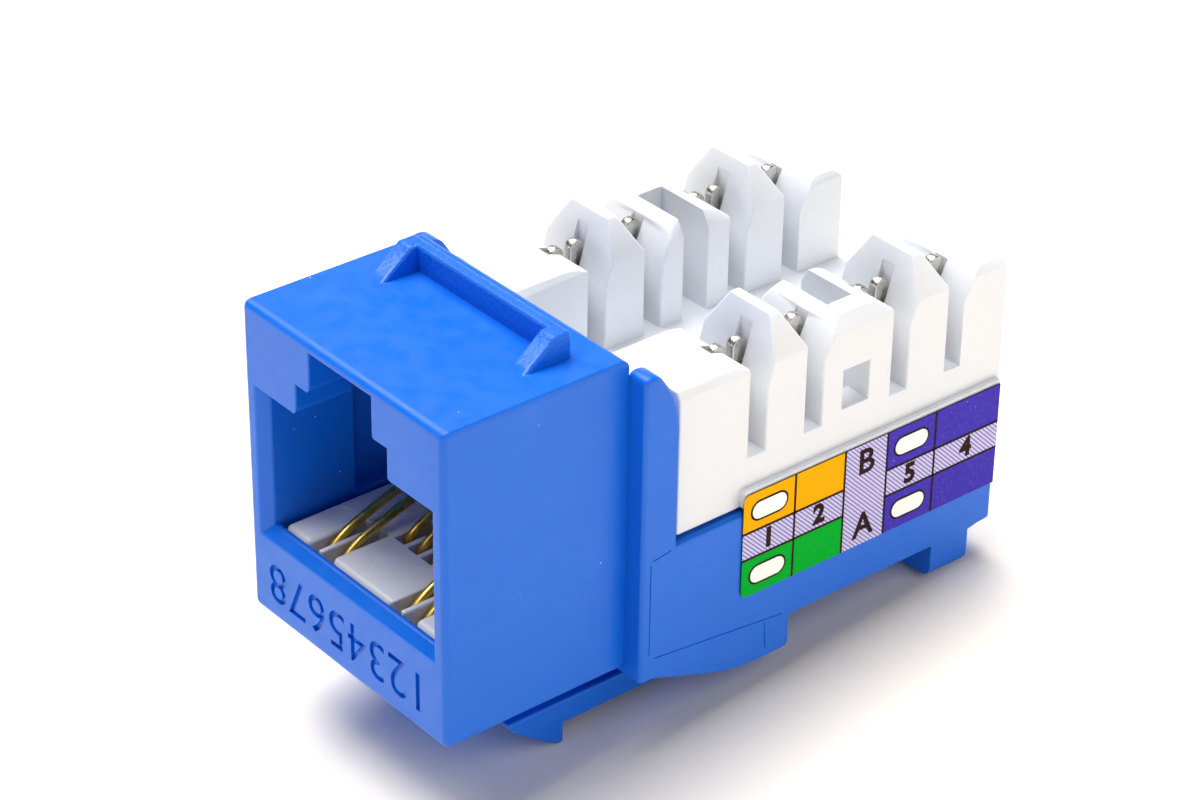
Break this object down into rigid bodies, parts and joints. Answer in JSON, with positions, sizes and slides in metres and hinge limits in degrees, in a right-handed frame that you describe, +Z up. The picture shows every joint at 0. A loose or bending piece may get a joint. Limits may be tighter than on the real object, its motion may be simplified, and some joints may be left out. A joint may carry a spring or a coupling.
{
  "type": "keystone network jack",
  "caption": "Blue snap-in keystone jack with a modular port at the front and a right-angle white punch-down block behind.",
  "frame": {"origin": "under the middle of the jack's box, at the level of its lowest point, the latch tip", "axes": "+X to the right seen from the port, +Y from the port face to the rear, +Z up, away from the latch"},
  "size_m": [0.0168, 0.032, 0.0217],
  "materials": {
    "housing_blue": "moulded, satin gloss",
    "insert_white": "moulded, satin",
    "block_white": "moulded, satin",
    "board": "solder mask",
    "contact_gold": "gold plated, polished",
    "terminal_tin": "tin plated, satin",
    "label_print": "printed film"
  },
  "bodies": {
    "jack": {"housing": "housing_blue", "circuit_board": "board", "contact_insert": "insert_white", "contact_tail_1": "contact_gold", "contact_tail_2": "contact_gold", "contact_tail_3": "contact_gold", "contact_tail_4": "contact_gold", "contact_tail_5": "contact_gold", "contact_tail_6": "contact_gold", "contact_tail_7": "contact_gold", "contact_tail_8": "contact_gold", "punch_block": "block_white", "terminal_1": "terminal_tin", "terminal_2": "terminal_tin", "terminal_3": "terminal_tin", "terminal_4": "terminal_tin", "terminal_5": "terminal_tin", "terminal_6": "terminal_tin", "terminal_7": "terminal_tin", "terminal_8": "terminal_tin", "label_right": "label_print", "label_left": "label_print"},
    "latch_arm": {"latch": "housing_blue"},
    "spring_1": {"contact_1": "contact_gold"},
    "spring_2": {"contact_2": "contact_gold"},
    "spring_3": {"contact_3": "contact_gold"},
    "spring_4": {"contact_4": "contact_gold"},
    "spring_5": {"contact_5": "contact_gold"},
    "spring_6": {"contact_6": "contact_gold"},
    "spring_7": {"contact_7": "contact_gold"},
    "spring_8": {"contact_8": "contact_gold"}
  },
  "joints": [
    {"name": "latch_flex", "type": "hinge", "parent": "jack", "child": "latch_arm", "pos_m": [0, -0.0033, 0.0017], "axis": [-1, 0, 0], "range_deg": [0, 10], "stiffness_Nm_per_rad": 0.3},
    {"name": "contact_1_flex", "type": "hinge", "parent": "jack", "child": "spring_1", "pos_m": [0.00357, -0.0144, 0.00805], "axis": [-1, 0, 0], "range_deg": [0, 8], "stiffness_Nm_per_rad": 0.05},
    {"name": "contact_2_flex", "type": "hinge", "parent": "jack", "child": "spring_2", "pos_m": [0.00255, -0.0144, 0.00805], "axis": [-1, 0, 0], "range_deg": [0, 8], "stiffness_Nm_per_rad": 0.05},
    {"name": "contact_3_flex", "type": "hinge", "parent": "jack", "child": "spring_3", "pos_m": [0.00153, -0.0115, 0.0088], "axis": [-1, 0, 0], "range_deg": [0, 8], "stiffness_Nm_per_rad": 0.05},
    {"name": "contact_4_flex", "type": "hinge", "parent": "jack", "child": "spring_4", "pos_m": [0.00051, -0.0115, 0.0088], "axis": [-1, 0, 0], "range_deg": [0, 8], "stiffness_Nm_per_rad": 0.05},
    {"name": "contact_5_flex", "type": "hinge", "parent": "jack", "child": "spring_5", "pos_m": [-0.00051, -0.0115, 0.0088], "axis": [-1, 0, 0], "range_deg": [0, 8], "stiffness_Nm_per_rad": 0.05},
    {"name": "contact_6_flex", "type": "hinge", "parent": "jack", "child": "spring_6", "pos_m": [-0.00153, -0.0115, 0.0088], "axis": [-1, 0, 0], "range_deg": [0, 8], "stiffness_Nm_per_rad": 0.05},
    {"name": "contact_7_flex", "type": "hinge", "parent": "jack", "child": "spring_7", "pos_m": [-0.00255, -0.0144, 0.00805], "axis": [-1, 0, 0], "range_deg": [0, 8], "stiffness_Nm_per_rad": 0.05},
    {"name": "contact_8_flex", "type": "hinge", "parent": "jack", "child": "spring_8", "pos_m": [-0.00357, -0.0144, 0.00805], "axis": [-1, 0, 0], "range_deg": [0, 8], "stiffness_Nm_per_rad": 0.05}
  ]
}
